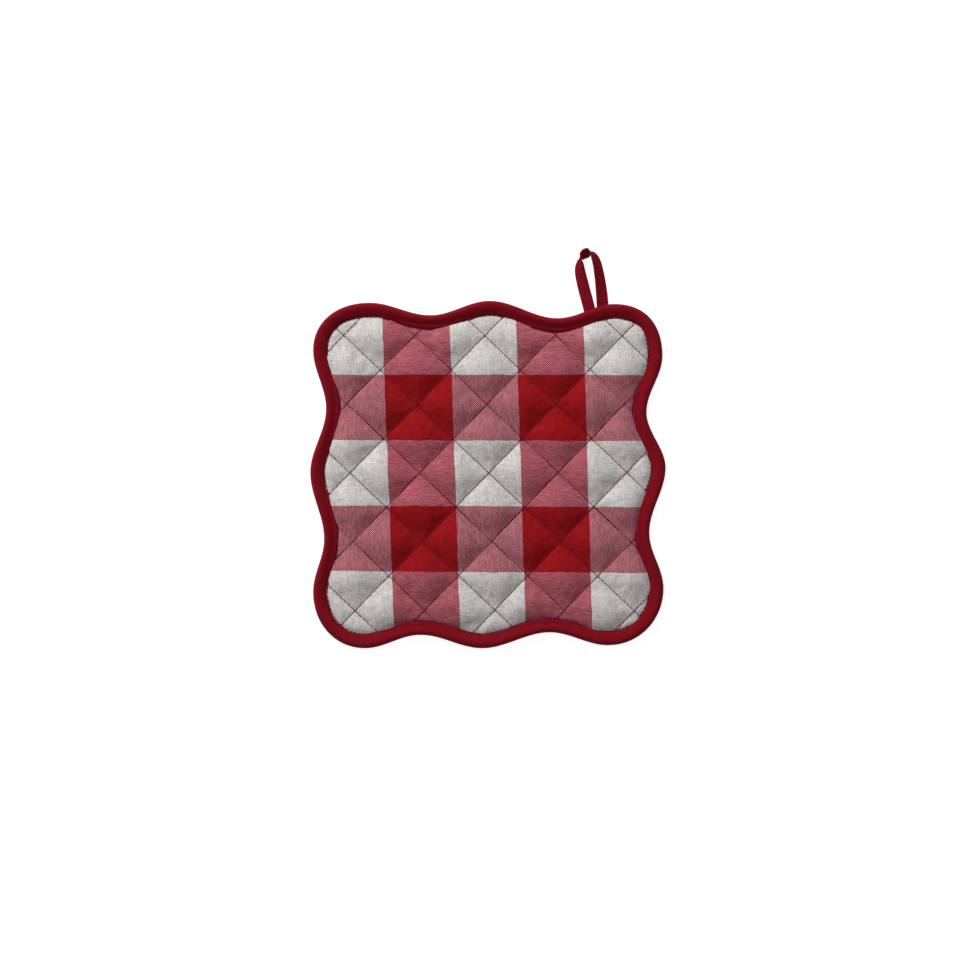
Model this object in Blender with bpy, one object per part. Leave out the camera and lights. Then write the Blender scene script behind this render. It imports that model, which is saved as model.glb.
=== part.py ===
"""Square quilted pot holder with a wavy bound edge and a tape loop, in metres, +Z up.

It lies face up on z = 0, with the hanging loop at +Y.
"""

import math
from collections import namedtuple

import bmesh
import bpy
import numpy as np
from mathutils import Vector
from mathutils.geometry import delaunay_2d_cdt

MM = 0.001
CLEARANCE = 0.3

# Outer edge of the binding, walked anticlockwise. x and y are in mm from the middle of the whole
# thing. The edge runs at the heading there, in degrees, and holds it over the two lengths in mm.
EdgeTurn = namedtuple("EdgeTurn", "place x y heading before after")
EDGE_TURNS = (
    EdgeTurn("left side, upper lobe", -99.9, 56.0, 270, 16.0, 12.0),
    EdgeTurn("left side, upper hollow", -92.5, 22.6, 270, 12.0, 13.0),
    EdgeTurn("left side, middle crest", -101.5, -14.0, 270, 13.0, 13.0),
    EdgeTurn("left side, lower hollow", -93.6, -51.7, 270, 13.0, 11.0),
    EdgeTurn("left side, lower lobe", -99.9, -82.2, 270, 11.0, 19.0),
    EdgeTurn("bottom, left lobe", -70.5, -114.4, 0, 16.0, 12.0),
    EdgeTurn("bottom, left hollow", -38.5, -106.8, 0, 12.0, 13.0),
    EdgeTurn("bottom, middle crest", -3.1, -114.4, 0, 13.0, 13.0),
    EdgeTurn("bottom, right hollow", 35.1, -105.3, 0, 13.0, 12.0),
    EdgeTurn("bottom, right lobe", 68.5, -112.7, 0, 12.0, 18.0),
    EdgeTurn("right side, lower lobe", 100.3, -80.2, 90, 18.0, 12.0),
    EdgeTurn("right side, lower hollow", 92.2, -48.2, 90, 12.0, 13.0),
    EdgeTurn("right side, middle crest", 101.5, -11.1, 90, 13.0, 11.0),
    EdgeTurn("right side, upper hollow", 90.6, 20.3, 90, 11.0, 12.0),
    EdgeTurn("right side, upper lobe", 99.7, 52.8, 90, 12.0, 18.0),
    EdgeTurn("top, right lobe", 72.4, 82.3, 180, 17.5, 12.0),
    EdgeTurn("top, right hollow", 39.7, 74.2, 180, 12.0, 14.0),
    EdgeTurn("top, middle crest", 0.9, 84.1, 180, 14.0, 12.0),
    EdgeTurn("top, left hollow", -32.8, 75.9, 180, 12.0, 13.0),
    EdgeTurn("top, left lobe", -67.7, 83.0, 180, 13.0, 19.0),
)
EDGE_STEPS = 7

# Section of the folded binding, in mm in from the outer edge and up from the surface.
BindingCorner = namedtuple("BindingCorner", "place inward up")
BINDING_SECTION = (
    BindingCorner("groove, front lip", 7.8, 5.1),
    BindingCorner("groove, front of the fold", 2.4, 5.1),
    BindingCorner("groove, back of the fold", 2.4, 1.7),
    BindingCorner("groove, back lip", 7.8, 1.7),
    BindingCorner("back lip", 7.6, 0.5),
    BindingCorner("back flat, inner side", 6.8, 0.0),
    BindingCorner("back flat, outer side", 2.6, 0.0),
    BindingCorner("roll, low", 0.7, 1.0),
    BindingCorner("roll, outermost", 0.0, 3.4),
    BindingCorner("roll, high", 0.5, 5.6),
    BindingCorner("roll, crown", 2.2, 7.0),
    BindingCorner("roll, inner side, high", 4.5, 6.7),
    BindingCorner("roll, inner side, low", 6.8, 5.9),
    BindingCorner("front lip", 7.8, 5.5),
)
GROOVE_END = 2.4

# Quilting lines: distance in mm from the middle of the whole thing, and direction in degrees.
# The first and last of each set run just outside the cloth.
SewnLine = namedtuple("SewnLine", "place offset angle")
FALLING_LINES = (
    SewnLine("beyond the lower left", -147.0, -43.5),
    SewnLine("lower left corner", -119.5, -43.5),
    SewnLine("second", -91.8, -44.1),
    SewnLine("third", -64.4, -43.4),
    SewnLine("fourth", -37.1, -43.5),
    SewnLine("corner to corner", -10.0, -43.5),
    SewnLine("sixth", 17.6, -43.7),
    SewnLine("seventh", 44.9, -43.9),
    SewnLine("eighth", 72.9, -44.8),
    SewnLine("upper right corner", 99.0, -43.5),
    SewnLine("beyond the upper right", 126.0, -43.5),
)
RISING_LINES = (
    SewnLine("beyond the lower right", -152.5, 46.0),
    SewnLine("lower right corner", -124.3, 46.0),
    SewnLine("second", -95.8, 45.6),
    SewnLine("third", -66.6, 46.2),
    SewnLine("fourth", -38.4, 45.9),
    SewnLine("corner to corner", -10.2, 45.8),
    SewnLine("sixth", 17.9, 45.6),
    SewnLine("seventh", 46.3, 45.5),
    SewnLine("eighth", 75.0, 45.0),
    SewnLine("upper left corner", 104.0, 46.0),
    SewnLine("beyond the upper left", 132.0, 46.0),
)
STEPS_ACROSS_PUFF = 5

PAD_EDGE_FRONT = 4.8
PAD_EDGE_BACK = 2.0
FRONT_PUFF_RISE = 4.3
BACK_PUFF_DROP = 2.7
PUFF_FULLNESS = 0.6
EDGE_EASE = 13.0
PUFF_START = 8.4

# Middle of the loop's tape, from one sewn end round to the other. x and y are in mm as above,
# up is its height in mm, and lean is how far its outer side is turned up (down where it is
# negative, and past -90 the tape shows its underside), in degrees.
TapeTurn = namedtuple("TapeTurn", "place x y up lean")
LOOP_TURNS = (
    TapeTurn("left end, inside the edge", 58.2, 76.0, 3.4, -2),
    TapeTurn("left end, leaving the edge", 57.2, 82.0, 3.3, -6),
    TapeTurn("left leg, middle", 53.9, 94.7, 3.0, -21),
    TapeTurn("left leg, high", 52.5, 101.7, 3.2, -38),
    TapeTurn("left leg, top", 52.45, 105.2, 3.6, -60),
    TapeTurn("left shoulder", 52.6, 107.5, 3.8, -84),
    TapeTurn("arch, left end", 53.6, 108.9, 3.8, -112),
    TapeTurn("arch, left of the top", 54.8, 110.4, 3.8, -134),
    TapeTurn("arch, top", 56.2, 111.2, 3.7, -142),
    TapeTurn("arch, right of the top", 57.6, 111.4, 3.7, -124),
    TapeTurn("arch, right end", 59.0, 111.4, 3.8, -80),
    TapeTurn("right shoulder", 60.5, 109.7, 3.7, -60),
    TapeTurn("right leg, top", 62.15, 105.8, 3.4, -47),
    TapeTurn("right leg, high", 63.35, 100.0, 3.2, -37),
    TapeTurn("right leg, middle", 64.6, 91.4, 3.1, -24),
    TapeTurn("right end, leaving the edge", 65.4, 82.0, 3.3, -10),
    TapeTurn("right end, inside the edge", 65.6, 76.0, 3.4, -4),
)
LOOP_STEPS = 3
TAPE_WIDTH = 6.8
TAPE_THICK = 1.5
TAPE_CHAMFER = 0.4

CHECK_CLOTH_COLOUR = (0.50, 0.16, 0.17, 1.0)
BINDING_COLOUR = (0.19, 0.008, 0.014, 1.0)
LOOP_COLOUR = (0.17, 0.007, 0.013, 1.0)


def cloth_material(name, colour):
    material = bpy.data.materials.new(name)
    material.use_nodes = True
    shader = material.node_tree.nodes["Principled BSDF"]
    shader.inputs["Base Color"].default_value = colour
    shader.inputs["Roughness"].default_value = 0.9
    shader.inputs["Metallic"].default_value = 0.0
    material.diffuse_color = colour
    return material


def sampled_points(path):
    """The corners that a curve object's line is drawn through, in mm, in order."""
    mesh = bpy.data.meshes.new_from_object(path)
    points = np.array([vertex.co[:2] for vertex in mesh.vertices]) / MM
    bpy.data.meshes.remove(mesh)
    return points


def ring_at(outline, inward):
    """The outline moved inward by this many mm."""
    run = np.roll(outline, -1, axis=0) - np.roll(outline, 1, axis=0)
    run /= np.linalg.norm(run, axis=1)[:, None]
    return outline + inward * np.stack([-run[:, 1], run[:, 0]], axis=1)


def depth_inside(points, outline):
    """Distance in mm from each point to the outline."""
    start = outline[None, :, :]
    along = np.roll(outline, -1, axis=0)[None, :, :] - start
    away = points[:, None, :] - start
    share = np.clip((away * along).sum(2) / (along**2).sum(2), 0.0, 1.0)
    return np.linalg.norm(away - share[:, :, None] * along, axis=2).min(axis=1)


def line_normal(line):
    angle = math.radians(line.angle)
    return np.array([-math.sin(angle), math.cos(angle)])


def crossing(first, second):
    normals = np.array([line_normal(first), line_normal(second)])
    return np.linalg.solve(normals, np.array([first.offset, second.offset]))


def puff_between(points, lines):
    """1 midway between two neighbouring lines of the set, 0 on each of them."""
    away = np.stack([points @ line_normal(line) - line.offset for line in lines], axis=1)
    before = np.clip((away >= 0).sum(axis=1) - 1, 0, len(lines) - 2)
    rows = np.arange(len(points))
    past = away[rows, before]
    to_go = -away[rows, before + 1]
    share = np.clip(past / (past + to_go), 0.0, 1.0)
    return 4.0 * share * (1.0 - share)


def puff_at(points, outline):
    """How far each point of the pad has puffed: 0 in the channels and at the edge, 1 at most."""
    depth = np.clip((depth_inside(points, outline) - PUFF_START) / EDGE_EASE, 0.0, 1.0)
    ease = 1.0 - (1.0 - depth) ** 2
    quilted = puff_between(points, FALLING_LINES) * puff_between(points, RISING_LINES)
    return quilted**PUFF_FULLNESS * ease


def inside_of(points, outline):
    """Whether each point lies inside the closed outline."""
    start = outline
    end = np.roll(outline, -1, axis=0)
    level = points[:, 1][:, None]
    spans = (start[:, 1] <= level) != (end[:, 1] <= level)
    rise = end[:, 1] - start[:, 1]
    rise = np.where(rise == 0.0, 1.0, rise)
    meets = start[:, 0] + (level - start[:, 1]) / rise * (end[:, 0] - start[:, 0])
    return (spans & (meets > points[:, 0][:, None])).sum(axis=1) % 2 == 1


def quilt_net(outline):
    """Points and edges in mm for the plan of the pad: the rings at its rim, and a net of squares
    whose sides lie along the quilting lines."""
    points = []
    edges = []
    for inward in (GROOVE_END + CLEARANCE, PUFF_START, PUFF_START + 0.25 * EDGE_EASE):
        ring = ring_at(outline, inward)
        first = len(points)
        count = len(ring)
        edges += [(first + step, first + (step + 1) % count) for step in range(count)]
        points += list(ring)
    rim = list(range(len(outline)))

    steps = STEPS_ACROSS_PUFF
    rows = (len(FALLING_LINES) - 1) * steps + 1
    columns = (len(RISING_LINES) - 1) * steps + 1
    corners = np.array([[crossing(f, r) for r in RISING_LINES] for f in FALLING_LINES])
    net = np.empty((rows, columns, 2))
    for row in range(rows):
        cell_row = min(row // steps, len(FALLING_LINES) - 2)
        down = row / steps - cell_row
        for column in range(columns):
            cell_column = min(column // steps, len(RISING_LINES) - 2)
            across = column / steps - cell_column
            near = corners[cell_row, cell_column : cell_column + 2]
            far = corners[cell_row + 1, cell_column : cell_column + 2]
            side = near * (1.0 - down) + far * down
            net[row, column] = side[0] * (1.0 - across) + side[1] * across
    flat = net.reshape(-1, 2)
    inside = inside_of(flat, outline).reshape(rows, columns)
    depth = depth_inside(flat, outline).reshape(rows, columns)
    kept = inside & (depth > PUFF_START + 1.2)
    clear_of_ring = np.abs(depth - PUFF_START - 0.25 * EDGE_EASE) > 1.2
    number = {}
    for row in range(rows):
        for column in range(columns):
            on_line = row % steps == 0 or column % steps == 0
            if kept[row, column] and (on_line or clear_of_ring[row, column]):
                number[row, column] = len(points)
                points.append(net[row, column])
    for (row, column), here in number.items():
        if row % steps == 0 and (row, column + 1) in number:
            edges.append((here, number[row, column + 1]))
        if column % steps == 0 and (row + 1, column) in number:
            edges.append((here, number[row + 1, column]))
    return points, edges, rim


def object_from(name, data, collection):
    made = bpy.data.objects.new(name, data)
    collection.objects.link(made)
    return made


def swept_mesh(name, sweep):
    """The closed mesh of a curve object that has a section, its caps welded and facing out."""
    bpy.context.view_layer.update()
    graph = bpy.context.evaluated_depsgraph_get()
    mesh = bpy.data.meshes.new_from_object(sweep.evaluated_get(graph))
    mesh.name = name
    build = bmesh.new()
    build.from_mesh(mesh)
    bmesh.ops.remove_doubles(build, verts=build.verts, dist=0.001 * MM)
    bmesh.ops.recalc_face_normals(build, faces=build.faces)
    build.to_mesh(mesh)
    build.free()
    mesh.materials.clear()
    return mesh


# Start from an empty scene.
for old in list(bpy.data.objects):
    bpy.data.objects.remove(old)

holder = bpy.data.collections.new("pot_holder")
bpy.context.scene.collection.children.link(holder)
guides = bpy.data.collections.new("guides")
guides.hide_render = True
bpy.context.scene.collection.children.link(guides)


# The outer edge, as a closed curve that the other pieces are laid out from.
edge_curve = bpy.data.curves.new("edge_line", "CURVE")
edge_curve.dimensions = "3D"
edge_curve.twist_mode = "Z_UP"
edge_curve.resolution_u = EDGE_STEPS
edge_spline = edge_curve.splines.new("BEZIER")
edge_spline.bezier_points.add(len(EDGE_TURNS) - 1)
edge_spline.use_cyclic_u = True
for knot, turn in zip(edge_spline.bezier_points, EDGE_TURNS):
    heading = math.radians(turn.heading)
    run = Vector((math.cos(heading), math.sin(heading), 0.0)) * MM
    knot.handle_left_type = "ALIGNED"
    knot.handle_right_type = "ALIGNED"
    knot.co = Vector((turn.x, turn.y, 0.0)) * MM
    knot.handle_left = knot.co - run * turn.before
    knot.handle_right = knot.co + run * turn.after
edge_line = object_from("edge_line", edge_curve, guides)
edge_line.hide_render = True
edge_line.display_type = "WIRE"
bpy.context.view_layer.update()
outline = sampled_points(edge_line)


# The binding: bias tape folded over the pad's edge, swept once round the outline.
section_curve = bpy.data.curves.new("binding_section", "CURVE")
section_curve.dimensions = "2D"
section_spline = section_curve.splines.new("POLY")
section_spline.points.add(len(BINDING_SECTION) - 1)
section_spline.use_cyclic_u = True
for knot, corner in zip(section_spline.points, BINDING_SECTION):
    knot.co = (-corner.inward * MM, corner.up * MM, 0.0, 1.0)
binding_section = object_from("binding_section", section_curve, guides)
binding_section.hide_render = True

binding_curve = edge_curve.copy()
binding_curve.bevel_mode = "OBJECT"
binding_curve.bevel_object = binding_section
binding_sweep = object_from("binding_sweep", binding_curve, guides)
binding_sweep.hide_render = True
binding_mesh = swept_mesh("binding", binding_sweep)
binding = object_from("binding", binding_mesh, holder)
binding_mesh.materials.append(cloth_material("binding cloth", BINDING_COLOUR))
binding_mesh.shade_smooth()


# The pad: check cloth, wadding and check cloth, sewn through along the quilting lines.
plan_points, plan_edges, rim_ring = quilt_net(outline)
flat_points, _, flat_faces, _, _, _ = delaunay_2d_cdt(
    [Vector(point) for point in plan_points], plan_edges, [rim_ring], 1, 1e-4
)
plan = np.array([tuple(point) for point in flat_points])
puff = puff_at(plan, outline)
front = PAD_EDGE_FRONT + FRONT_PUFF_RISE * puff
back = np.maximum(PAD_EDGE_BACK - BACK_PUFF_DROP * puff, 0.0)
pad_build = bmesh.new()
front_corners = [
    pad_build.verts.new((x * MM, y * MM, z * MM)) for (x, y), z in zip(plan, front)
]
back_corners = [
    pad_build.verts.new((x * MM, y * MM, z * MM)) for (x, y), z in zip(plan, back)
]
for face in flat_faces:
    pad_build.faces.new([front_corners[corner] for corner in face])
    pad_build.faces.new([back_corners[corner] for corner in reversed(face)])
open_edges = [edge for edge in pad_build.edges if edge.is_boundary]
bmesh.ops.bridge_loops(pad_build, edges=open_edges)
bmesh.ops.recalc_face_normals(pad_build, faces=pad_build.faces)
pad_mesh = bpy.data.meshes.new("pad")
pad_build.to_mesh(pad_mesh)
pad_build.free()
pad = object_from("pad", pad_mesh, holder)
pad_mesh.materials.append(cloth_material("check cloth", CHECK_CLOTH_COLOUR))
pad_mesh.shade_smooth()
pad_mesh.set_sharp_from_angle(angle=math.radians(24))


# The loop: folded tape bent double, its ends against the outside of the binding.
tape_section_curve = bpy.data.curves.new("tape_section", "CURVE")
tape_section_curve.dimensions = "2D"
tape_section_spline = tape_section_curve.splines.new("POLY")
tape_section_spline.points.add(7)
tape_section_spline.use_cyclic_u = True
half_width = TAPE_WIDTH / 2
half_thick = TAPE_THICK / 2
tape_corners = (
    (half_width, half_thick - TAPE_CHAMFER),
    (half_width - TAPE_CHAMFER, half_thick),
    (-half_width + TAPE_CHAMFER, half_thick),
    (-half_width, half_thick - TAPE_CHAMFER),
    (-half_width, -half_thick + TAPE_CHAMFER),
    (-half_width + TAPE_CHAMFER, -half_thick),
    (half_width - TAPE_CHAMFER, -half_thick),
    (half_width, -half_thick + TAPE_CHAMFER),
)
for knot, (across, through) in zip(tape_section_spline.points, tape_corners):
    knot.co = (across * MM, through * MM, 0.0, 1.0)
tape_section = object_from("tape_section", tape_section_curve, guides)
tape_section.hide_render = True

loop_curve = bpy.data.curves.new("loop_line", "CURVE")
loop_curve.dimensions = "3D"
loop_curve.twist_mode = "Z_UP"
loop_curve.resolution_u = LOOP_STEPS
loop_curve.bevel_mode = "OBJECT"
loop_curve.bevel_object = tape_section
loop_curve.use_fill_caps = True
loop_spline = loop_curve.splines.new("BEZIER")
loop_spline.bezier_points.add(len(LOOP_TURNS) - 1)
loop_spline.tilt_interpolation = "CARDINAL"
for knot, turn in zip(loop_spline.bezier_points, LOOP_TURNS):
    knot.co = Vector((turn.x, turn.y, turn.up)) * MM
    knot.handle_left_type = "AUTO"
    knot.handle_right_type = "AUTO"
    knot.tilt = math.radians(turn.lean)
loop_sweep = object_from("loop_sweep", loop_curve, guides)
loop_sweep.hide_render = True
loop_mesh = swept_mesh("hanging_loop", loop_sweep)
loop = object_from("hanging_loop", loop_mesh, holder)
loop_mesh.materials.append(cloth_material("loop tape", LOOP_COLOUR))

# What trims the tape's ends: everything inside the outer edge, and a hair beyond it.
trim_ring = ring_at(outline, -CLEARANCE)
trim_build = bmesh.new()
trim_floor = [trim_build.verts.new((x * MM, y * MM, -20 * MM)) for x, y in trim_ring]
trim_face = trim_build.faces.new(trim_floor)
trimmed = bmesh.ops.extrude_face_region(trim_build, geom=[trim_face])
raised = [item for item in trimmed["geom"] if isinstance(item, bmesh.types.BMVert)]
bmesh.ops.translate(trim_build, verts=raised, vec=(0.0, 0.0, 40 * MM))
bmesh.ops.recalc_face_normals(trim_build, faces=trim_build.faces)
trim_mesh = bpy.data.meshes.new("tape_trim")
trim_build.to_mesh(trim_mesh)
trim_build.free()
tape_trim = object_from("tape_trim", trim_mesh, guides)
tape_trim.hide_render = True
tape_trim.display_type = "WIRE"
trim_cut = loop.modifiers.new("trim the ends", "BOOLEAN")
trim_cut.operation = "DIFFERENCE"
trim_cut.solver = "EXACT"
trim_cut.object = tape_trim
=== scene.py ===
import math
from collections import namedtuple

import bpy
import numpy as np
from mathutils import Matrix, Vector, noise


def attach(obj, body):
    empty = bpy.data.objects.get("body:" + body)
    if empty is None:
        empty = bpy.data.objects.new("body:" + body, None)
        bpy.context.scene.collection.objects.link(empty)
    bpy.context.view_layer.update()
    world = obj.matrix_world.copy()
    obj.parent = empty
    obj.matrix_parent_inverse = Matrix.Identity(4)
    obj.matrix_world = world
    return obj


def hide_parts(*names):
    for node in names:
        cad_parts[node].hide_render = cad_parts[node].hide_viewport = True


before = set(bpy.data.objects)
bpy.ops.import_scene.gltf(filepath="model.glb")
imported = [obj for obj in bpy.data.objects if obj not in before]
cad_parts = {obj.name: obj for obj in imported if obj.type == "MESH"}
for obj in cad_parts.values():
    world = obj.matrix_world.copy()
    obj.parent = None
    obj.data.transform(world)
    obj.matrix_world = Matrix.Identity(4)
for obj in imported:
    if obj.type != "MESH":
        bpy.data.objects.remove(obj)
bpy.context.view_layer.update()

# --- Quilted pad ------------------------------------------------------------------------------
# Two squares of woven check cotton with wadding between, cut with waved sides and sewn through in
# two sets of diagonal lines. The cloth is gathered a little along each line, so that it puffs up
# in every diamond and puckers beside the thread.
MM = 0.001
# The line that the outside of the binding follows, in mm from the middle of the holder: a lobe at
# each corner and one crest between them. before and after say how far each turn reaches.
EdgeTurn = namedtuple("EdgeTurn", "place x y heading before after")
EDGE_TURNS = (
    EdgeTurn("left side, upper lobe", -99.9, 56.0, 270, 16.0, 12.0),
    EdgeTurn("left side, upper hollow", -92.5, 22.6, 270, 12.0, 13.0),
    EdgeTurn("left side, middle crest", -101.5, -14.0, 270, 13.0, 13.0),
    EdgeTurn("left side, lower hollow", -93.6, -51.7, 270, 13.0, 11.0),
    EdgeTurn("left side, lower lobe", -99.9, -82.2, 270, 11.0, 19.0),
    EdgeTurn("bottom, left lobe", -70.5, -114.4, 0, 16.0, 12.0),
    EdgeTurn("bottom, left hollow", -38.5, -106.8, 0, 12.0, 13.0),
    EdgeTurn("bottom, middle crest", -3.1, -114.4, 0, 13.0, 13.0),
    EdgeTurn("bottom, right hollow", 35.1, -105.3, 0, 13.0, 12.0),
    EdgeTurn("bottom, right lobe", 68.5, -112.7, 0, 12.0, 18.0),
    EdgeTurn("right side, lower lobe", 100.3, -80.2, 90, 18.0, 12.0),
    EdgeTurn("right side, lower hollow", 92.2, -48.2, 90, 12.0, 13.0),
    EdgeTurn("right side, middle crest", 101.5, -11.1, 90, 13.0, 11.0),
    EdgeTurn("right side, upper hollow", 90.6, 20.3, 90, 11.0, 12.0),
    EdgeTurn("right side, upper lobe", 99.7, 52.8, 90, 12.0, 18.0),
    EdgeTurn("top, right lobe", 72.4, 82.3, 180, 17.5, 12.0),
    EdgeTurn("top, right hollow", 39.7, 74.2, 180, 12.0, 14.0),
    EdgeTurn("top, middle crest", 0.9, 84.1, 180, 14.0, 12.0),
    EdgeTurn("top, left hollow", -32.8, 75.9, 180, 12.0, 13.0),
    EdgeTurn("top, left lobe", -67.7, 83.0, 180, 13.0, 19.0),
)
EDGE_STEPS = 30


def edge_points():
    """The outer edge as points in mm, EDGE_STEPS to a turn, anticlockwise."""
    share = np.arange(EDGE_STEPS)[:, None] / EDGE_STEPS
    runs = []
    for start, end in zip(EDGE_TURNS, EDGE_TURNS[1:] + EDGE_TURNS[:1]):
        out = np.array([math.cos(math.radians(start.heading)), math.sin(math.radians(start.heading))])
        back = np.array([math.cos(math.radians(end.heading)), math.sin(math.radians(end.heading))])
        first = np.array([start.x, start.y])
        last = np.array([end.x, end.y])
        second = first + out * start.after
        third = last - back * end.before
        runs.append(
            (1 - share) ** 3 * first
            + 3 * (1 - share) ** 2 * share * second
            + 3 * (1 - share) * share**2 * third
            + share**3 * last
        )
    return np.concatenate(runs)


def depth_inside(points, line):
    """Distance in mm from each point to a closed line."""
    depths = []
    along = np.roll(line, -1, axis=0) - line
    reach = (along**2).sum(1)
    for block in np.array_split(points, max(1, len(points) // 2000)):
        away = block[:, None, :] - line[None, :, :]
        share = np.clip((away * along).sum(2) / reach, 0.0, 1.0)
        depths.append(np.linalg.norm(away - share[:, :, None] * along, axis=2).min(axis=1))
    return np.concatenate(depths)


def within_edge(points, line):
    """True for each point that lies inside a closed line."""
    ends = np.roll(line, -1, axis=0)
    rise = ends[:, 1] - line[:, 1]
    level = points[:, 1:2]
    crosses = (line[:, 1] <= level) != (ends[:, 1] <= level)
    share = (level - line[:, 1]) / np.where(rise == 0, 1, rise)
    meets = line[:, 0] + share * (ends[:, 0] - line[:, 0])
    return (crosses & (meets > points[:, 0:1])).sum(1) % 2 == 1


edge = edge_points()
# Quilting lines: distance in mm from the middle of the holder, and direction in degrees.
SewnLine = namedtuple("SewnLine", "place offset angle")
FALLING_LINES = (
    SewnLine("beyond the lower left", -147.0, -43.5),
    SewnLine("lower left corner", -119.5, -43.5),
    SewnLine("second", -91.8, -44.1),
    SewnLine("third", -64.4, -43.4),
    SewnLine("fourth", -37.1, -43.5),
    SewnLine("corner to corner", -10.0, -43.5),
    SewnLine("sixth", 17.6, -43.7),
    SewnLine("seventh", 44.9, -43.9),
    SewnLine("eighth", 72.9, -44.8),
    SewnLine("upper right corner", 99.0, -43.5),
    SewnLine("beyond the upper right", 126.0, -43.5),
)
RISING_LINES = (
    SewnLine("beyond the lower right", -152.5, 46.0),
    SewnLine("lower right corner", -124.3, 46.0),
    SewnLine("second", -95.8, 45.6),
    SewnLine("third", -66.6, 46.2),
    SewnLine("fourth", -38.4, 45.9),
    SewnLine("corner to corner", -10.2, 45.8),
    SewnLine("sixth", 17.9, 45.6),
    SewnLine("seventh", 46.3, 45.5),
    SewnLine("eighth", 75.0, 45.0),
    SewnLine("upper left corner", 104.0, 46.0),
    SewnLine("beyond the upper left", 132.0, 46.0),
)
STEPS_ACROSS_PUFF = 14
# Heights above the table and distances in from the outer edge, in mm.
PAD_EDGE_FRONT = 4.8
PAD_EDGE_BACK = 2.0
FRONT_PUFF_RISE = 3.4
BACK_PUFF_DROP = 2.7
PUFF_FULLNESS = 0.92
EDGE_EASE = 12.0
PUFF_START = 7.4
SEAM_START = 7.6
SEAM_WIDTH = 2.4
SEAM_DROP = 1.2
HIDDEN_EDGE = 3.4
HELD_EDGE = 5.4
TABLE_CLEARANCE = 0.05


def seam_dip(depth):
    """How far the front cloth is pulled down beside the binding, in mm."""
    share = np.clip((depth - SEAM_START) / SEAM_WIDTH, 0, 1)
    return SEAM_DROP * (1 - share**2 * (3 - 2 * share))


def line_normal(line):
    angle = math.radians(line.angle)
    return np.array([-math.sin(angle), math.cos(angle)])


def crossing(first, second):
    return np.linalg.solve(
        np.array([line_normal(first), line_normal(second)]), np.array([first.offset, second.offset])
    )


corners = np.array([[crossing(f, r) for r in RISING_LINES] for f in FALLING_LINES])
rows = (len(FALLING_LINES) - 1) * STEPS_ACROSS_PUFF + 1
columns = (len(RISING_LINES) - 1) * STEPS_ACROSS_PUFF + 1
row_place = np.arange(rows) / STEPS_ACROSS_PUFF
column_place = np.arange(columns) / STEPS_ACROSS_PUFF
cell_row = np.minimum(row_place.astype(int), len(FALLING_LINES) - 2)
cell_column = np.minimum(column_place.astype(int), len(RISING_LINES) - 2)
down = (row_place - cell_row)[:, None, None]
across = (column_place - cell_column)[None, :, None]
net = (
    corners[cell_row][:, cell_column] * (1 - down) * (1 - across)
    + corners[cell_row + 1][:, cell_column] * down * (1 - across)
    + corners[cell_row][:, cell_column + 1] * (1 - down) * across
    + corners[cell_row + 1][:, cell_column + 1] * down * across
)
flat = net.reshape(-1, 2)
inside = within_edge(flat, edge)
depth = depth_inside(flat, edge)
share_down = 4 * down * (1 - down)
share_across = 4 * across * (1 - across)
quilted = (share_down * share_across).reshape(-1) ** PUFF_FULLNESS
ease = 1 - (1 - np.clip((depth - PUFF_START) / EDGE_EASE, 0, 1)) ** 2
puff = quilted * ease
kept = (inside & (depth > HIDDEN_EDGE)).reshape(rows, columns)
faces = []
for row in range(rows - 1):
    for column in range(columns - 1):
        if kept[row : row + 2, column : column + 2].all():
            here = row * columns + column
            faces.append((here, here + 1, here + columns + 1, here + columns))
faces = np.array(faces)
used, index = np.unique(faces, return_inverse=True)
faces = index.reshape(-1, 4)
flat = flat[used]
puff = puff[used]
openness = quilted[used]
depth = depth[used]
row_sewn = np.arange(rows)[:, None] % STEPS_ACROSS_PUFF == 0
column_sewn = np.arange(columns)[None, :] % STEPS_ACROSS_PUFF == 0
on_line = (row_sewn | column_sewn).reshape(-1)[used]
count = len(flat)
front = np.column_stack([flat, PAD_EDGE_FRONT + FRONT_PUFF_RISE * puff - seam_dip(depth)])
back = np.column_stack([flat, np.maximum(PAD_EDGE_BACK - BACK_PUFF_DROP * puff, TABLE_CLEARANCE)])
first_side = front[faces[:, 1]] - front[faces[:, 0]]
second_side = front[faces[:, 2]] - front[faces[:, 0]]
faces_up = np.cross(first_side, second_side)[:, 2].mean() > 0
front_faces = faces if faces_up else faces[:, ::-1]
back_faces = front_faces[:, ::-1] + count
sides = np.concatenate([front_faces[:, [k, (k + 1) % 4]] for k in range(4)])
keys = set(map(tuple, sides.tolist()))
rim = [(a, b) for a, b in keys if (b, a) not in keys]
rim_faces = [(b, a, a + count, b + count) for a, b in rim]
pad_mesh = bpy.data.meshes.new("quilted_pad")
pad_mesh.from_pydata(
    (np.concatenate([front, back]) * MM).tolist(),
    [],
    front_faces.tolist() + back_faces.tolist() + rim_faces,
)
pad_mesh.shade_smooth()
pad = bpy.data.objects.new("quilted_pad", pad_mesh)
bpy.context.scene.collection.objects.link(pad)
sewn = np.concatenate([on_line, on_line])
cut_place = np.column_stack([np.concatenate([flat, flat]) * MM, np.zeros(2 * count)])
pad_place = pad_mesh.attributes.new("cloth_place", "FLOAT_VECTOR", "POINT")
pad_place.data.foreach_set("vector", cut_place.ravel())
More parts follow.
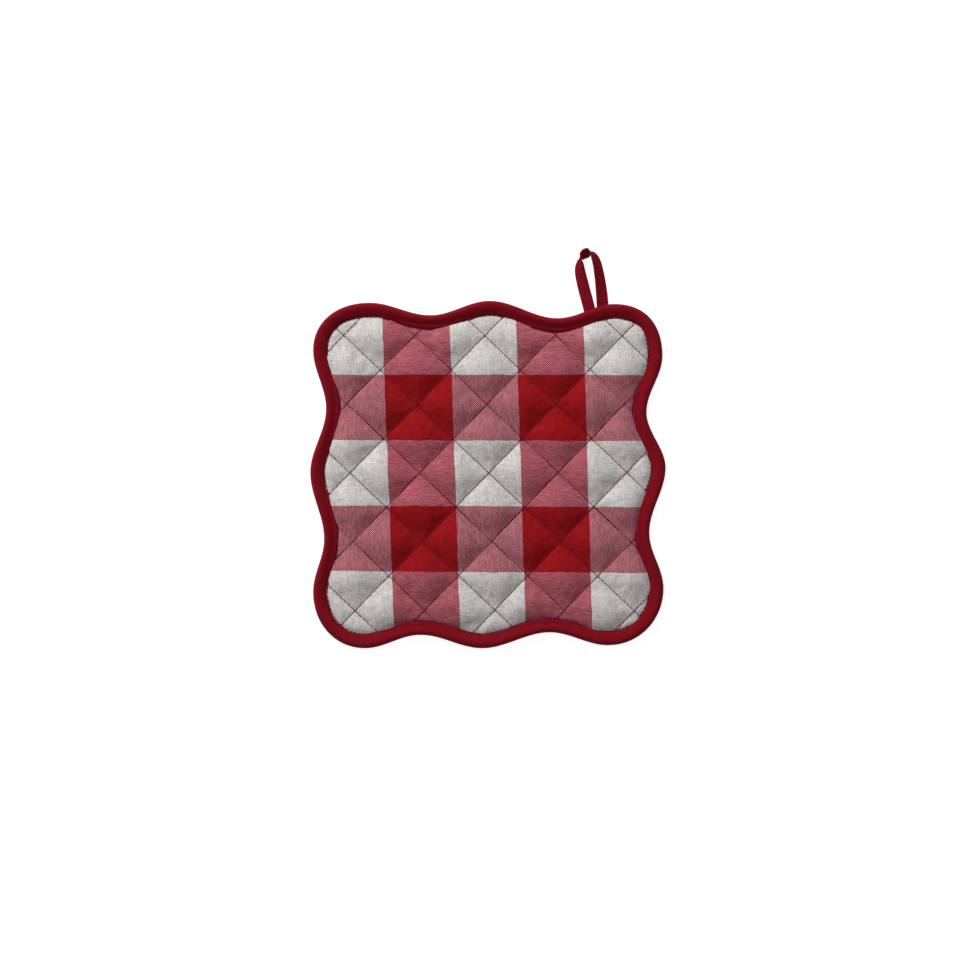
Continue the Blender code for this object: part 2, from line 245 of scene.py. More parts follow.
# The puffs are swollen as a closed bag held on its seams and at its edge, then limited in how far
# each point may move, in mm. The vertical limit grows from a seam to the middle of a puff.
SWELLING_FRAMES = 20
SIDEWAYS_LIMIT = 0.6
VERTICAL_LIMIT_ON_SEAM = 0.2
VERTICAL_LIMIT_ADDED_IN_PUFF = 1.4
held = sewn | np.concatenate([depth < HELD_EDGE, depth < HELD_EDGE])
pins = pad.vertex_groups.new(name="sewn down")
pins.add(np.flatnonzero(held).tolist(), 1.0, "REPLACE")
swelling = pad.modifiers.new("swelling", "CLOTH")
swelling.point_cache.frame_start = 1
swelling.point_cache.frame_end = SWELLING_FRAMES
swelling.settings.vertex_group_mass = "sewn down"
swelling.settings.mass = 0.0001
swelling.settings.quality = 5
swelling.settings.use_pressure = True
swelling.settings.uniform_pressure_force = 20
swelling.settings.effector_weights.gravity = 0
swelling.settings.shrink_min = -0.02
swelling.settings.tension_stiffness = 5
swelling.settings.compression_stiffness = 5
swelling.settings.shear_stiffness = 2
swelling.settings.bending_stiffness = 0.05
for frame_number in range(1, SWELLING_FRAMES + 1):
    bpy.context.scene.frame_set(frame_number)
swollen = pad.evaluated_get(bpy.context.evaluated_depsgraph_get()).to_mesh()
before = np.empty(count * 6)
after = np.empty(count * 6)
pad_mesh.vertices.foreach_get("co", before)
swollen.vertices.foreach_get("co", after)
pad.modifiers.remove(swelling)
move = (after - before).reshape(-1, 3)
move[:, :2] = np.clip(move[:, :2], -SIDEWAYS_LIMIT * MM, SIDEWAYS_LIMIT * MM)
both_faces = np.concatenate([openness, openness])
vertical_limit = (VERTICAL_LIMIT_ON_SEAM + VERTICAL_LIMIT_ADDED_IN_PUFF * both_faces) * MM
move[:, 2] = np.clip(move[:, 2], -vertical_limit, vertical_limit)
settled = before.reshape(-1, 3) + move
settled[:, 2] = np.maximum(settled[:, 2], TABLE_CLEARANCE * MM)
pad_mesh.vertices.foreach_set("co", settled.ravel())
bpy.context.scene.frame_set(1)
edge_ends = np.empty(len(pad_mesh.edges) * 2, int)
pad_mesh.edges.foreach_get("vertices", edge_ends)
edge_ends = edge_ends.reshape(-1, 2)
crease = pad_mesh.attributes.new("crease_edge", "FLOAT", "EDGE")
crease.data.foreach_set("value", sewn[edge_ends].all(axis=1).astype(float))
rounding = pad.modifiers.new("rounding", "SUBSURF")
rounding.levels = 1
rounding.render_levels = 1

check = bpy.data.materials.new("check cloth")
check.use_nodes = True
nodes = check.node_tree.nodes
links = check.node_tree.links
shader = nodes["Principled BSDF"]
shader.inputs["Roughness"].default_value = 0.88
shader.inputs["Specular IOR Level"].default_value = 0.06


def math_node(operation, first, second=None, third=None):
    node = nodes.new("ShaderNodeMath")
    node.operation = operation
    for socket, value in zip(node.inputs, (first, second, third)):
        if value is None:
            continue
        if isinstance(value, (int, float)):
            socket.default_value = value
        else:
            links.new(value, socket)
    return node.outputs[0]


def mix_colours(share, first, second):
    node = nodes.new("ShaderNodeMix")
    node.data_type = "RGBA"
    links.new(share, node.inputs[0])
    for socket, value in ((node.inputs[6], first), (node.inputs[7], second)):
        if isinstance(value, tuple):
            socket.default_value = value
        else:
            links.new(value, socket)
    return node.outputs[2]


place = nodes.new("ShaderNodeAttribute")
place.attribute_name = "cloth_place"
split = nodes.new("ShaderNodeSeparateXYZ")
links.new(place.outputs["Vector"], split.inputs[0])
x, y = split.outputs["X"], split.outputs["Y"]
# The check isn't laid quite square: its stripes lean a little, more on one side than the other.
warp_lean = math_node("MULTIPLY_ADD", x, -0.084, 0.0331)
weft_lean = math_node("MULTIPLY_ADD", y, -0.040, 0.0033)
warp_start = math_node("MULTIPLY_ADD", x, 1.0039, 0.00025)
weft_start = math_node("MULTIPLY_ADD", y, 1.0086, 0.01494)
warp_at = math_node("MULTIPLY_ADD", math_node("ADD", y, 0.0154), warp_lean, warp_start)
weft_at = math_node("MULTIPLY_ADD", x, weft_lean, weft_start)


def random_for(value, seed, scale, stretch):
    """Smooth random value from 0 to 1 that changes with value, and slowly along stretch."""
    node = nodes.new("ShaderNodeTexNoise")
    node.noise_dimensions = "2D"
    node.inputs["Scale"].default_value = 1.0
    node.inputs["Detail"].default_value = 1.0
    place_on = nodes.new("ShaderNodeCombineXYZ")
    links.new(math_node("MULTIPLY_ADD", value, scale, seed), place_on.inputs["X"])
    links.new(stretch, place_on.inputs["Y"])
    links.new(place_on.outputs[0], node.inputs["Vector"])
    return node.outputs["Fac"]


# A slow wander of a third of a millimetre keeps the woven stripes from being dead straight.
WANDER = 0.00035
warp_waver = random_for(weft_at, 3.1, 90.0, math_node("MULTIPLY", warp_at, 25.0))
weft_waver = random_for(warp_at, 8.7, 90.0, math_node("MULTIPLY", weft_at, 25.0))
warp_at = math_node("ADD", warp_at, math_node("MULTIPLY_ADD", warp_waver, 2 * WANDER, -WANDER))
weft_at = math_node("ADD", weft_at, math_node("MULTIPLY_ADD", weft_waver, 2 * WANDER, -WANDER))
WARP_YARN = 0.00058
WEFT_YARN = 0.00060
WARP_YARNS_TO_A_CHECK = 65.5
WEFT_YARNS_TO_A_CHECK = 63
warp_yarn = math_node("DIVIDE", warp_at, WARP_YARN)
weft_yarn = math_node("DIVIDE", weft_at, WEFT_YARN)
warp_index = math_node("FLOOR", warp_yarn)
weft_index = math_node("FLOOR", weft_yarn)


def in_red_stripe(index, stripe):
    """1 on the yarns of the two red stripes that lie either side of the middle one."""
    from_stripe = math_node("ABSOLUTE", math_node("SUBTRACT", math_node("ABSOLUTE", index), stripe))
    return math_node("LESS_THAN", from_stripe, stripe / 2)


warp_red = in_red_stripe(warp_index, WARP_YARNS_TO_A_CHECK)
weft_red = in_red_stripe(weft_index, WEFT_YARNS_TO_A_CHECK)
parity = math_node("MODULO", math_node("ADD", math_node("ADD", warp_index, weft_index), 10000), 2)
across_warp = math_node("SUBTRACT", math_node("SUBTRACT", warp_yarn, warp_index), 0.5)
across_weft = math_node("SUBTRACT", math_node("SUBTRACT", weft_yarn, weft_index), 0.5)
warp_slub = random_for(warp_index, 0.37, 7.31, math_node("MULTIPLY", weft_at, 240.0))
weft_slub = random_for(weft_index, 5.91, 5.17, math_node("MULTIPLY", warp_at, 240.0))


def of_upper_yarn(warp_value, weft_value):
    """The warp's value where the warp yarn lies on top, and the weft's elsewhere."""
    return math_node(
        "ADD",
        math_node("MULTIPLY", parity, warp_value),
        math_node("MULTIPLY", math_node("SUBTRACT", 1, parity), weft_value),
    )


def yarn_crown(across):
    """Height of a yarn's rounded top: 0 at its sides and 0.25 along its middle."""
    return math_node("SUBTRACT", 0.25, math_node("POWER", math_node("ABSOLUTE", across), 2.0))


top_red = of_upper_yarn(warp_red, weft_red)
top_slub = of_upper_yarn(warp_slub, weft_slub)
both_red = math_node("MULTIPLY", warp_red, weft_red)
one_red = math_node("SUBTRACT", math_node("ADD", warp_red, weft_red), math_node("MULTIPLY", both_red, 2))
# A white yarn is tinted pink where red ones cross it: painted red light, bounced from the red yarns beside
# it. A red yarn looks darker among white ones.
WHITE_AMONG_WHITE = (0.655, 0.625, 0.605, 1.0)
WHITE_OVER_RED_WEFT = (0.66, 0.275, 0.325, 1.0)
WHITE_OVER_RED_WARP = (0.67, 0.205, 0.255, 1.0)
RED_AMONG_RED = (0.315, 0.0076, 0.0105, 1.0)
RED_AMONG_WHITE = (0.165, 0.0055, 0.013, 1.0)
white_with_painted_bounce = mix_colours(warp_red, WHITE_OVER_RED_WEFT, WHITE_OVER_RED_WARP)
white_yarn = mix_colours(one_red, WHITE_AMONG_WHITE, white_with_painted_bounce)
red_yarn = mix_colours(one_red, RED_AMONG_RED, RED_AMONG_WHITE)
cloth_plain = mix_colours(top_red, white_yarn, red_yarn)
brightness = math_node("MULTIPLY_ADD", top_slub, 1.1, 0.45)
slubbed = nodes.new("ShaderNodeVectorMath")
slubbed.operation = "SCALE"
links.new(cloth_plain, slubbed.inputs[0])
links.new(brightness, slubbed.inputs["Scale"])
crown = of_upper_yarn(yarn_crown(across_warp), yarn_crown(across_weft))
weave = nodes.new("ShaderNodeBump")
weave.inputs["Strength"].default_value = 0.6
weave.inputs["Distance"].default_value = 0.0004
links.new(math_node("MULTIPLY_ADD", crown, 2.0, top_slub), weave.inputs["Height"])
links.new(weave.outputs["Normal"], shader.inputs["Normal"])
links.new(slubbed.outputs[0], shader.inputs["Base Color"])
pad_mesh.materials.append(check)
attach(pad, "root")
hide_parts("pad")

# --- Quilting thread --------------------------------------------------------------------------
# Dark red thread, machine sewn through the pad from edge to edge. One stitch shows for every
# 2.8 mm, and the same on the back.
QUILTING_STITCH = 2.8
QUILTING_THREAD_WIDTH = 0.46
THREAD_OVER_FRONT = 0.28
THREAD_OVER_BACK = 0.25
THREAD_END = 7.0
stitch_paths = bpy.data.curves.new("quilting_paths", "CURVE")
stitch_paths.dimensions = "3D"
for lines in (FALLING_LINES, RISING_LINES):
    for line in lines[1:-1]:
        angle = math.radians(line.angle)
        run = np.array([math.cos(angle), math.sin(angle)])
        along = np.arange(-170.0, 170.0, 0.5)
        points = line_normal(line) * line.offset + along[:, None] * run
        within = within_edge(points, edge) & (depth_inside(points, edge) > THREAD_END)
        if not within.any():
            continue
        first, last = np.flatnonzero(within)[[0, -1]]
        path = points[first : last + 1]
        dip = seam_dip(depth_inside(path, edge))
        on_front = PAD_EDGE_FRONT + THREAD_OVER_FRONT - dip
        on_back = np.full(len(path), PAD_EDGE_BACK - THREAD_OVER_BACK)
        for height in (on_front, on_back):
            spline = stitch_paths.splines.new("POLY")
            spline.points.add(len(path) - 1)
            knots = np.column_stack([path * MM, height * MM, np.ones(len(path))])
            spline.points.foreach_set("co", knots.ravel())
stitches = bpy.data.objects.new("quilting_thread", stitch_paths)
bpy.context.scene.collection.objects.link(stitches)
thread = bpy.data.materials.new("quilting thread")
thread.use_nodes = True
thread_surface = thread.node_tree.nodes["Principled BSDF"]
thread_surface.inputs["Base Color"].default_value = (0.15, 0.007, 0.013, 1)
thread_surface.inputs["Roughness"].default_value = 0.7
thread_surface.inputs["Specular IOR Level"].default_value = 0.1
# Each stitch is a small ball with blunted ends, set along the line and stretched to its length.
tree = bpy.data.node_groups.new("stitches along lines", "GeometryNodeTree")
tree.interface.new_socket("Geometry", in_out="INPUT", socket_type="NodeSocketGeometry")
stitch_length = tree.interface.new_socket("Stitch Length", in_out="INPUT", socket_type="NodeSocketFloat")
thread_width = tree.interface.new_socket("Thread Width", in_out="INPUT", socket_type="NodeSocketFloat")
thread_colour = tree.interface.new_socket("Thread", in_out="INPUT", socket_type="NodeSocketMaterial")
tree.interface.new_socket("Geometry", in_out="OUTPUT", socket_type="NodeSocketGeometry")
given = tree.nodes.new("NodeGroupInput")
result = tree.nodes.new("NodeGroupOutput")
spaced = tree.nodes.new("GeometryNodeCurveToPoints")
spaced.mode = "LENGTH"
grain = tree.nodes.new("GeometryNodeMeshUVSphere")
grain.inputs["Segments"].default_value = 6
grain.inputs["Rings"].default_value = 5
grain.inputs["Radius"].default_value = 0.5
blunted = tree.nodes.new("GeometryNodeSetPosition")
blunt_spot = tree.nodes.new("GeometryNodeInputPosition")
apart = tree.nodes.new("ShaderNodeSeparateXYZ")
sign = tree.nodes.new("ShaderNodeMath")
sign.operation = "SIGN"
size_of = tree.nodes.new("ShaderNodeMath")
size_of.operation = "ABSOLUTE"
doubled = tree.nodes.new("ShaderNodeMath")
doubled.operation = "MULTIPLY"
doubled.inputs[1].default_value = 2.0
rooted = tree.nodes.new("ShaderNodeMath")
rooted.operation = "POWER"
rooted.inputs[1].default_value = 0.55
halved = tree.nodes.new("ShaderNodeMath")
halved.operation = "MULTIPLY"
halved.inputs[1].default_value = 0.5
signed = tree.nodes.new("ShaderNodeMath")
signed.operation = "MULTIPLY"
together = tree.nodes.new("ShaderNodeCombineXYZ")
turned = tree.nodes.new("FunctionNodeAlignRotationToVector")
turned.axis = "Z"
sized = tree.nodes.new("ShaderNodeCombineXYZ")
longer = tree.nodes.new("ShaderNodeMath")
longer.operation = "MULTIPLY"
longer.inputs[1].default_value = 1.02
placed = tree.nodes.new("GeometryNodeInstanceOnPoints")
real = tree.nodes.new("GeometryNodeRealizeInstances")
painted = tree.nodes.new("GeometryNodeSetMaterial")
tree.links.new(given.outputs["Geometry"], spaced.inputs["Curve"])
tree.links.new(given.outputs["Stitch Length"], spaced.inputs["Length"])
tree.links.new(given.outputs["Stitch Length"], longer.inputs[0])
tree.links.new(given.outputs["Thread Width"], sized.inputs["X"])
tree.links.new(given.outputs["Thread Width"], sized.inputs["Y"])
tree.links.new(longer.outputs[0], sized.inputs["Z"])
tree.links.new(spaced.outputs["Tangent"], turned.inputs["Vector"])
tree.links.new(spaced.outputs["Points"], placed.inputs["Points"])
tree.links.new(grain.outputs["Mesh"], blunted.inputs["Geometry"])
tree.links.new(blunt_spot.outputs["Position"], apart.inputs[0])
tree.links.new(apart.outputs["Z"], sign.inputs[0])
tree.links.new(apart.outputs["Z"], size_of.inputs[0])
tree.links.new(size_of.outputs[0], doubled.inputs[0])
tree.links.new(doubled.outputs[0], rooted.inputs[0])
tree.links.new(rooted.outputs[0], halved.inputs[0])
tree.links.new(halved.outputs[0], signed.inputs[0])
tree.links.new(sign.outputs[0], signed.inputs[1])
tree.links.new(apart.outputs["X"], together.inputs["X"])
tree.links.new(apart.outputs["Y"], together.inputs["Y"])
tree.links.new(signed.outputs[0], together.inputs["Z"])
tree.links.new(together.outputs[0], blunted.inputs["Position"])
tree.links.new(blunted.outputs["Geometry"], placed.inputs["Instance"])
tree.links.new(turned.outputs["Rotation"], placed.inputs["Rotation"])
tree.links.new(sized.outputs["Vector"], placed.inputs["Scale"])
tree.links.new(placed.outputs["Instances"], real.inputs["Geometry"])
tree.links.new(real.outputs["Geometry"], painted.inputs["Geometry"])
tree.links.new(given.outputs["Thread"], painted.inputs["Material"])
tree.links.new(painted.outputs["Geometry"], result.inputs["Geometry"])
sewing = stitches.modifiers.new("stitches", "NODES")
sewing.node_group = tree
sewing[stitch_length.identifier] = QUILTING_STITCH * MM
sewing[thread_width.identifier] = QUILTING_THREAD_WIDTH * MM
sewing[thread_colour.identifier] = thread
bpy.context.view_layer.update()
stitch_mesh = bpy.data.meshes.new_from_object(stitches.evaluated_get(bpy.context.evaluated_depsgraph_get()))
bpy.data.objects.remove(stitches)
stitch_mesh.name = "quilting_thread"
stitch_mesh.shade_smooth()
quilting = bpy.data.objects.new("quilting_thread", stitch_mesh)
bpy.context.scene.collection.objects.link(quilting)
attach(quilting, "root")

# --- Edge binding -----------------------------------------------------------------------------
# One strip of crimson cotton cut on the bias, folded over the pad's edge and sewn down, which
# makes a plump roll. In the hollows of the edge its inner fold lies flatter.
BindingCorner = namedtuple("BindingCorner", "place inward up inward_in_hollow up_in_hollow")
BINDING_SECTION = (
    BindingCorner("groove, front lip", 7.8, 4.0, 7.9, 4.0),
    BindingCorner("groove, front of the fold", 2.4, 4.6, 2.4, 4.6),
    BindingCorner("groove, back of the fold", 2.4, 1.9, 2.4, 1.9),
    BindingCorner("groove, back lip", 7.6, 1.9, 7.6, 1.9),
    BindingCorner("back lip", 7.7, 0.9, 7.7, 0.9),
    BindingCorner("back lip, outside", 7.2, 0.25, 7.2, 0.25),
    BindingCorner("back flat, inner side", 6.2, 0.05, 6.2, 0.05),
    BindingCorner("back flat, middle", 4.4, 0.05, 4.4, 0.05),
    BindingCorner("back flat, outer side", 2.6, 0.1, 2.6, 0.1),
    BindingCorner("roll, under", 1.3, 0.5, 1.3, 0.5),
    BindingCorner("roll, low", 0.4, 1.5, 0.4, 1.5),
    BindingCorner("roll, outermost, low", 0.02, 2.8, 0.02, 2.8),
    BindingCorner("roll, outermost, high", 0.05, 4.2, 0.05, 4.2),
    BindingCorner("roll, high", 0.45, 5.6, 0.45, 5.5),
    BindingCorner("roll, front shoulder", 1.2, 6.7, 1.15, 6.5),
    BindingCorner("roll, crown", 2.2, 7.2, 2.1, 6.95),
    BindingCorner("roll, inner side, high", 3.4, 7.05, 3.1, 6.75),
    BindingCorner("roll, inner side", 4.6, 6.65, 4.1, 6.25),
    BindingCorner("roll, inner side, low", 5.8, 6.1, 5.0, 5.65),
    BindingCorner("roll, fall to the lip", 6.9, 5.45, 5.7, 5.15),
    BindingCorner("front lip", 7.7, 4.75, 6.9, 5.2),
    BindingCorner("front lip, edge", 8.05, 4.15, 8.1, 4.6),
)
run = np.roll(edge, -1, axis=0) - np.roll(edge, 1, axis=0)
run /= np.linalg.norm(run, axis=1)[:, None]
inward = np.stack([-run[:, 1], run[:, 0]], axis=1)
in_hollow = np.array([1.0 if "hollow" in turn.place else 0.0 for turn in EDGE_TURNS])
blend = 0.5 - 0.5 * np.cos(np.pi * np.arange(EDGE_STEPS) / EDGE_STEPS)
hollow = (in_hollow[:, None] * (1 - blend) + np.roll(in_hollow, -1)[:, None] * blend).reshape(-1, 1, 1)
on_lobe = np.array([(corner.inward, corner.up) for corner in BINDING_SECTION])
in_dip = np.array([(corner.inward_in_hollow, corner.up_in_hollow) for corner in BINDING_SECTION])
section = on_lobe[None] * (1 - hollow) + in_dip[None] * hollow
along_edge = np.concatenate([[0.0], np.cumsum(np.linalg.norm(np.roll(edge, -1, axis=0) - edge, axis=1))])
# The roll's height and its inner lip each wander a little along the edge: lengths in mm.
HAND_WANDER = 0.28
ROLL_WAVE = 11.0
LIP_WAVE = 5.0
plumpness = np.array([noise.noise(Vector((x / ROLL_WAVE, y / ROLL_WAVE, 0.3))) for x, y in edge])
lip_wander = np.array([noise.noise(Vector((x / LIP_WAVE, y / LIP_WAVE, 7.3))) for x, y in edge])
on_roll = np.clip((section[:, :, 1] - 4.4) / 2.4, 0, 1)
at_lip = np.clip((section[:, :, 0] - 5.0) / 2.6, 0, 1) * (section[:, :, 1] > 4.0)
section[:, :, 1] += HAND_WANDER * plumpness[:, None] * on_roll
section[:, :, 0] += HAND_WANDER * lip_wander[:, None] * at_lip
plan = edge[:, None, :] + inward[:, None, :] * section[:, :, 0:1]
height = section[:, :, 1:2]
ring = np.concatenate([plan, height], axis=2)
steps, around = ring.shape[:2]
step = np.arange(steps)[:, None]
spot = np.arange(around)[None, :]
next_step = (step + 1) % steps
next_spot = (spot + 1) % around
binding_faces = np.stack(
    np.broadcast_arrays(
        step * around + spot,
        step * around + next_spot,
        next_step * around + next_spot,
        next_step * around + spot,
    ),
    axis=2,
).reshape(-1, 4)
binding_mesh = bpy.data.meshes.new("edge_binding")
binding_mesh.from_pydata((ring.reshape(-1, 3) * MM).tolist(), [], binding_faces.tolist())
binding_mesh.shade_smooth()
round_section = np.concatenate([[0.0], np.cumsum(np.linalg.norm(np.diff(on_lobe, axis=0), axis=1))])
strip_place = np.stack(
    np.broadcast_arrays(along_edge[:-1, None] * MM, round_section[None, :] * MM, 0.0), axis=2
)
binding_place = binding_mesh.attributes.new("cloth_place", "FLOAT_VECTOR", "POINT")
binding_place.data.foreach_set("vector", strip_place.ravel())
binding = bpy.data.objects.new("edge_binding", binding_mesh)
bpy.context.scene.collection.objects.link(binding)
smoothing = binding.modifiers.new("rounding", "SUBSURF")
smoothing.levels = 1
smoothing.render_levels = 1


def plain_cotton(name, colour, slant):
    """Closely woven plain-dyed cotton whose yarns run at slant degrees to cloth_place."""
    material = bpy.data.materials.new(name)
    material.use_nodes = True
    tree_nodes = material.node_tree.nodes
    join = material.node_tree.links.new
    surface = tree_nodes["Principled BSDF"]
    surface.inputs["Roughness"].default_value = 0.85
    surface.inputs["Specular IOR Level"].default_value = 0.06
    where = tree_nodes.new("ShaderNodeAttribute")
    where.attribute_name = "cloth_place"
    turn = tree_nodes.new("ShaderNodeMapping")
    turn.inputs["Rotation"].default_value = (0, 0, math.radians(slant))
    join(where.outputs["Vector"], turn.inputs["Vector"])
    heights = []
    for direction in ("X", "Y"):
        yarns = tree_nodes.new("ShaderNodeTexWave")
        yarns.bands_direction = direction
        yarns.inputs["Scale"].default_value = 314.0
        yarns.inputs["Distortion"].default_value = 1.2
        yarns.inputs["Detail"].default_value = 2.0
        join(turn.outputs["Vector"], yarns.inputs["Vector"])
        heights.append(yarns.outputs["Fac"])
    woven = tree_nodes.new("ShaderNodeMath")
    woven.operation = "ADD"
    join(heights[0], woven.inputs[0])
    join(heights[1], woven.inputs[1])
    cloud = tree_nodes.new("ShaderNodeTexNoise")
    cloud.inputs["Scale"].default_value = 260.0
    cloud.inputs["Detail"].default_value = 5.0
    join(where.outputs["Vector"], cloud.inputs["Vector"])
    shade = tree_nodes.new("ShaderNodeMath")
    shade.operation = "MULTIPLY_ADD"
    shade.inputs[1].default_value = 0.55
    shade.inputs[2].default_value = 0.62
    join(cloud.outputs["Fac"], shade.inputs[0])
    lifted = tree_nodes.new("ShaderNodeMath")
    lifted.operation = "MULTIPLY_ADD"
    lifted.inputs[1].default_value = 0.10
    join(woven.outputs[0], lifted.inputs[0])
    join(shade.outputs[0], lifted.inputs[2])
    dyed = tree_nodes.new("ShaderNodeVectorMath")
    dyed.operation = "SCALE"
    dyed.inputs[0].default_value = colour
    join(lifted.outputs[0], dyed.inputs["Scale"])
    join(dyed.outputs[0], surface.inputs["Base Color"])
    grain_bump = tree_nodes.new("ShaderNodeBump")
    grain_bump.inputs["Strength"].default_value = 0.5
    grain_bump.inputs["Distance"].default_value = 0.00025
    join(woven.outputs[0], grain_bump.inputs["Height"])
    join(grain_bump.outputs["Normal"], surface.inputs["Normal"])
    return material


CRIMSON = (0.205, 0.0043, 0.0112)
binding_cloth = plain_cotton("binding cloth", CRIMSON, 45)
binding_mesh.materials.append(binding_cloth)
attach(binding, "root")
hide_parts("binding")

# --- Binding stitches -------------------------------------------------------------------------
# One row of machine stitches in the same dark red thread, in the ditch between the binding's inner fold and
# the quilting, front and back. It holds the binding to the pad. The row is drawn wider than the quilting
# thread and set where it shows, so its dark colour is partly real thread and partly painted shade in the
# ditch.
BINDING_STITCH = 2.5
# Wider than the thread alone, so that the dark row also paints the shade in the ditch.
BINDING_THREAD_AND_SHADE_WIDTH = 0.7
seam_curve = bpy.data.curves.new("binding_seam", "CURVE")
seam_curve.dimensions = "3D"
for seam_inward, seam_up in ((8.35, 4.15), (7.95, 1.7)):
    ditch = edge + inward * seam_inward
    spline = seam_curve.splines.new("POLY")
    spline.points.add(len(ditch) - 1)
    spline.use_cyclic_u = True
    for knot, (ditch_x, ditch_y) in zip(spline.points, ditch):
        knot.co = (ditch_x * MM, ditch_y * MM, seam_up * MM, 1)
seam_line = bpy.data.objects.new("binding_seam", seam_curve)
bpy.context.scene.collection.objects.link(seam_line)
seam_sewing = seam_line.modifiers.new("stitches", "NODES")
seam_sewing.node_group = tree
seam_sewing[stitch_length.identifier] = BINDING_STITCH * MM
seam_sewing[thread_width.identifier] = BINDING_THREAD_AND_SHADE_WIDTH * MM
seam_sewing[thread_colour.identifier] = thread
bpy.context.view_layer.update()
seam_mesh = bpy.data.meshes.new_from_object(seam_line.evaluated_get(bpy.context.evaluated_depsgraph_get()))
bpy.data.objects.remove(seam_line)
seam_mesh.name = "binding_thread"
seam_mesh.shade_smooth()
binding_thread = bpy.data.objects.new("binding_thread", seam_mesh)
bpy.context.scene.collection.objects.link(binding_thread)
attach(binding_thread, "root")

# --- Hanging loop -----------------------------------------------------------------------------
# Narrow tape, the same cotton folded twice and sewn flat, bent double with both ends caught in
# the binding. It lies flat where it leaves the edge and turns on its side round the arch.
TapeTurn = namedtuple("TapeTurn", "place x y up lean")
LOOP_TURNS = (
    TapeTurn("left end, inside the edge", 58.2, 78.0, 3.4, -2),
    TapeTurn("left end, leaving the edge", 57.2, 82.0, 3.3, -6),
    TapeTurn("left leg, middle", 53.9, 94.7, 3.0, -21),
    TapeTurn("left leg, high", 52.5, 101.7, 3.2, -38),
    TapeTurn("left leg, top", 52.45, 105.2, 3.6, -60),
    TapeTurn("left shoulder", 52.6, 107.5, 3.8, -84),
    TapeTurn("arch, left end", 53.6, 108.9, 3.8, -112),
    TapeTurn("arch, left of the top", 54.8, 110.4, 3.8, -134),
    TapeTurn("arch, top", 56.2, 111.2, 3.7, -142),
    TapeTurn("arch, right of the top", 57.6, 111.4, 3.7, -124),
    TapeTurn("arch, right end", 59.0, 111.4, 3.8, -80),
    TapeTurn("right shoulder", 60.5, 109.7, 3.7, -60),
    TapeTurn("right leg, top", 62.15, 105.8, 3.4, -47),
    TapeTurn("right leg, high", 63.35, 100.0, 3.2, -37),
    TapeTurn("right leg, middle", 64.6, 91.4, 3.1, -24),
    TapeTurn("right end, leaving the edge", 65.4, 82.0, 3.3, -10),
    TapeTurn("right end, inside the edge", 65.6, 78.0, 3.4, -4),
)
TapeCorner = namedtuple("TapeCorner", "place across through")
TAPE_SECTION = (
    TapeCorner("outer fold, front", 3.38, 0.35),
    TapeCorner("outer fold, turning in, front", 3.15, 0.66),
    TapeCorner("outer side, front", 2.75, 0.74),
    TapeCorner("outer side, inner, front", 2.2, 0.70),
    TapeCorner("middle, front", 0.0, 0.62),
    TapeCorner("inner side, outer, front", -2.2, 0.70),
    TapeCorner("inner side, front", -2.75, 0.74),
    TapeCorner("inner fold, turning in, front", -3.15, 0.66),
    TapeCorner("inner fold, front", -3.38, 0.35),
    TapeCorner("inner fold, back", -3.38, -0.35),
    TapeCorner("inner fold, turning in, back", -3.15, -0.66),
    TapeCorner("inner side, back", -2.75, -0.74),
    TapeCorner("middle, back", 0.0, -0.68),
    TapeCorner("outer side, back", 2.75, -0.74),
    TapeCorner("outer fold, turning in, back", 3.15, -0.66),
    TapeCorner("outer fold, back", 3.38, -0.35),
)
tape_section_curve = bpy.data.curves.new("tape_section", "CURVE")
tape_section_curve.dimensions = "2D"
tape_section_spline = tape_section_curve.splines.new("POLY")
tape_section_spline.points.add(len(TAPE_SECTION) - 1)
tape_section_spline.use_cyclic_u = True
for knot, corner in zip(tape_section_spline.points, TAPE_SECTION):
    knot.co = (corner.across * MM, corner.through * MM, 0.0, 1.0)
tape_section = bpy.data.objects.new("tape_section", tape_section_curve)
bpy.context.scene.collection.objects.link(tape_section)
loop_curve = bpy.data.curves.new("loop_line", "CURVE")
loop_curve.dimensions = "3D"
loop_curve.twist_mode = "Z_UP"
loop_curve.resolution_u = 8
loop_curve.bevel_mode = "OBJECT"
loop_curve.bevel_object = tape_section
loop_curve.use_fill_caps = True
loop_spline = loop_curve.splines.new("BEZIER")
loop_spline.bezier_points.add(len(LOOP_TURNS) - 1)
loop_spline.tilt_interpolation = "CARDINAL"
for knot, turn in zip(loop_spline.bezier_points, LOOP_TURNS):
    knot.co = Vector((turn.x, turn.y, turn.up)) * MM
    knot.handle_left_type = "AUTO"
    knot.handle_right_type = "AUTO"
    knot.tilt = math.radians(turn.lean)
loop_sweep = bpy.data.objects.new("loop_sweep", loop_curve)
bpy.context.scene.collection.objects.link(loop_sweep)
bpy.context.view_layer.update()
loop_mesh = bpy.data.meshes.new_from_object(loop_sweep.evaluated_get(bpy.context.evaluated_depsgraph_get()))
bpy.data.objects.remove(loop_sweep)
bpy.data.objects.remove(tape_section)
loop_mesh.name = "tape_loop"
loop_mesh.shade_smooth()
loop_place = loop_mesh.attributes.new("cloth_place", "FLOAT_VECTOR", "POINT")
loop_spots = np.empty(len(loop_mesh.vertices) * 3)
loop_mesh.vertices.foreach_get("co", loop_spots)
loop_place.data.foreach_set("vector", loop_spots)
loop = bpy.data.objects.new("tape_loop", loop_mesh)
bpy.context.scene.collection.objects.link(loop)
loop_mesh.materials.clear()
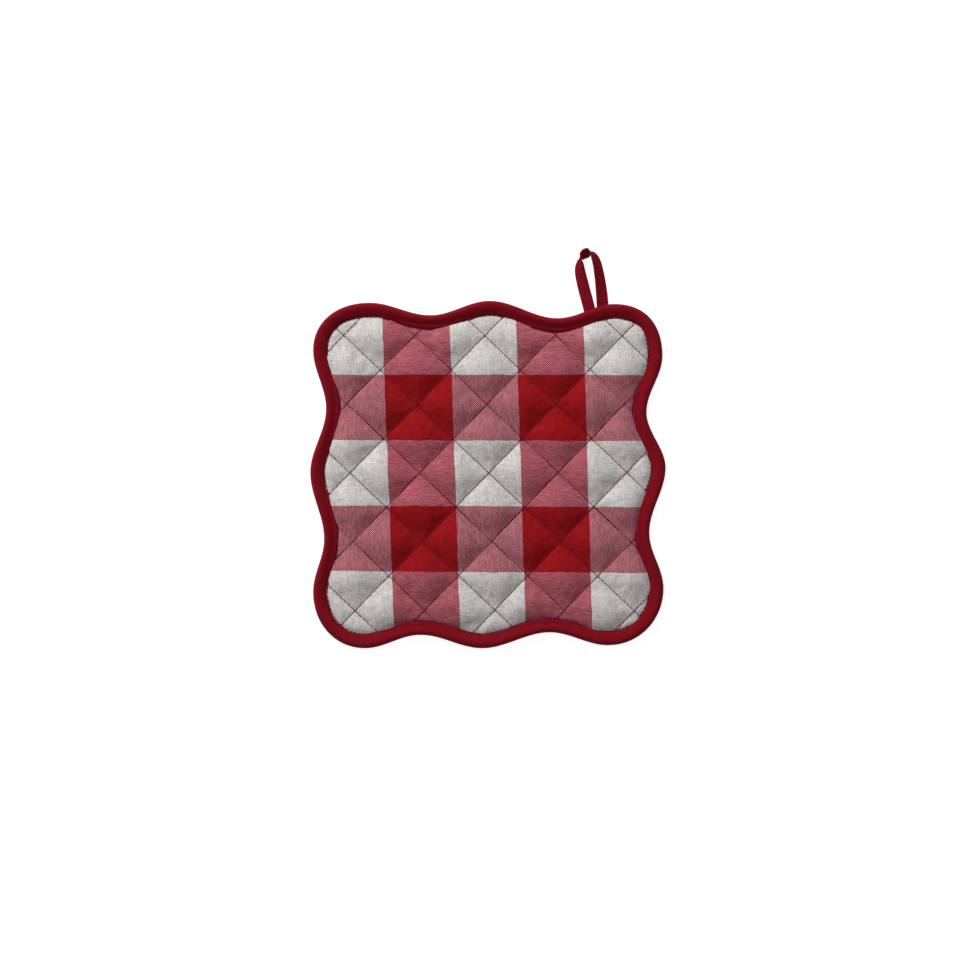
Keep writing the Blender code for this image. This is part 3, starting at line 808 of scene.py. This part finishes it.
LOOP_CRIMSON = (0.190, 0.0042, 0.0110)
loop_cloth = plain_cotton("loop tape", LOOP_CRIMSON, 0)
loop_mesh.materials.append(loop_cloth)
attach(loop, "root")
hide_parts("hanging_loop")

# --- Table top, light and camera --------------------------------------------------------------
# A white table top under soft studio light: a dim even surround and one large square lamp above
# the top left corner. The camera looks straight down on the holder.
bpy.ops.mesh.primitive_plane_add(size=6.0, location=(0, 0, -0.0002))
floor = bpy.context.object
floor.name = "table_top"
floor_paint = bpy.data.materials.new("white table top")
floor_paint.use_nodes = True
floor_surface = floor_paint.node_tree.nodes["Principled BSDF"]
floor_surface.inputs["Base Color"].default_value = (0.35, 0.35, 0.35, 1)
floor_surface.inputs["Roughness"].default_value = 0.9
floor_surface.inputs["Specular IOR Level"].default_value = 0.1
floor_surface.inputs["Emission Color"].default_value = (1, 1, 1, 1)
floor_surface.inputs["Emission Strength"].default_value = 0.9
floor.data.materials.append(floor_paint)

scene = bpy.context.scene
scene.view_settings.view_transform = "Standard"
world = bpy.data.worlds.new("studio")
scene.world = world
world.use_nodes = True
world.node_tree.nodes["Background"].inputs["Color"].default_value = (1, 1, 1, 1)
world.node_tree.nodes["Background"].inputs["Strength"].default_value = 0.26

key_data = bpy.data.lights.new("key", "AREA")
key_data.shape = "SQUARE"
key_data.size = 1.1
key_data.energy = 43
key = bpy.data.objects.new("key", key_data)
scene.collection.objects.link(key)
key_azimuth, key_height, key_distance = math.radians(119), math.radians(34), 2.0
key.location = (
    key_distance * math.cos(key_azimuth) * math.cos(key_height),
    key_distance * math.sin(key_azimuth) * math.cos(key_height),
    key_distance * math.sin(key_height),
)
key.rotation_euler = (-key.location).to_track_quat("-Z", "Y").to_euler()

camera_data = bpy.data.cameras.new("camera")
camera_data.lens = 100
camera_data.sensor_width = 36
camera = bpy.data.objects.new("camera", camera_data)
scene.collection.objects.link(camera)
camera.location = (-0.0054, -0.0174, 1.521)
camera.rotation_euler = (0, 0, 0)
scene.camera = camera
